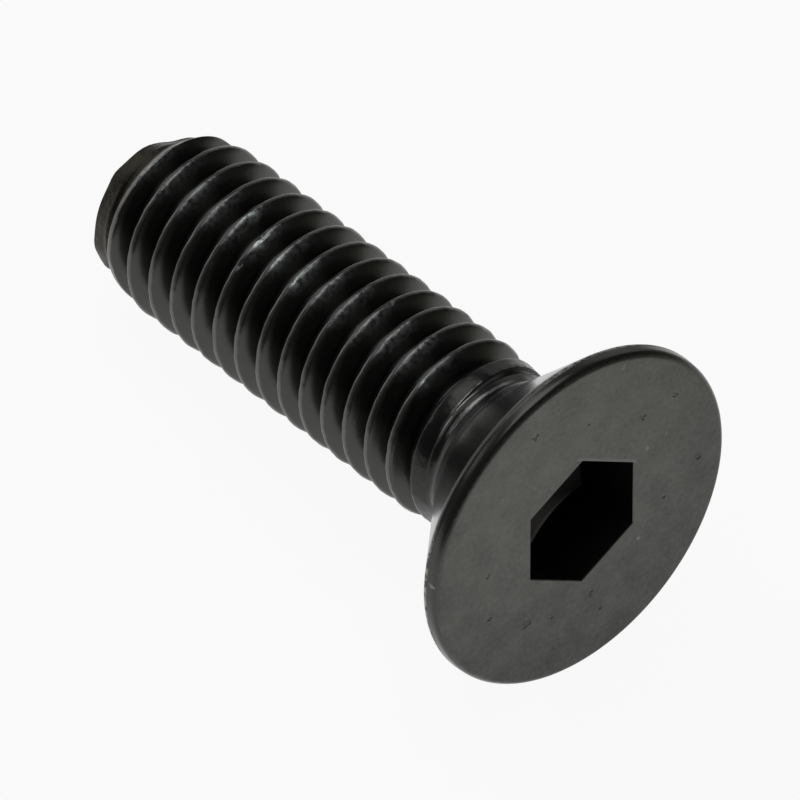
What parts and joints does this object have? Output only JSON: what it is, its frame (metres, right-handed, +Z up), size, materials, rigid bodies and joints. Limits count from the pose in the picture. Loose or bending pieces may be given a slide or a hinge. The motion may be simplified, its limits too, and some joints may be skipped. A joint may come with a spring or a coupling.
{
  "type": "countersunk socket screw",
  "caption": "Flat-head countersunk machine screw with a hexagon socket drive and a full-length right-hand thread, in black-oxide steel.",
  "frame": {"origin": "on the table, under the middle of the screw's box as it lies on its side", "axes": "+Z up from the table; the head is towards +X and the tip towards -X, with the screw's axis in the XZ plane, sloping down towards the tip"},
  "size_m": [0.0208, 0.0114, 0.0114],
  "materials": {
    "black_oxide_steel": "satin"
  },
  "bodies": {
    "root": {"countersunk_screw": "black_oxide_steel"}
  },
  "joints": []
}
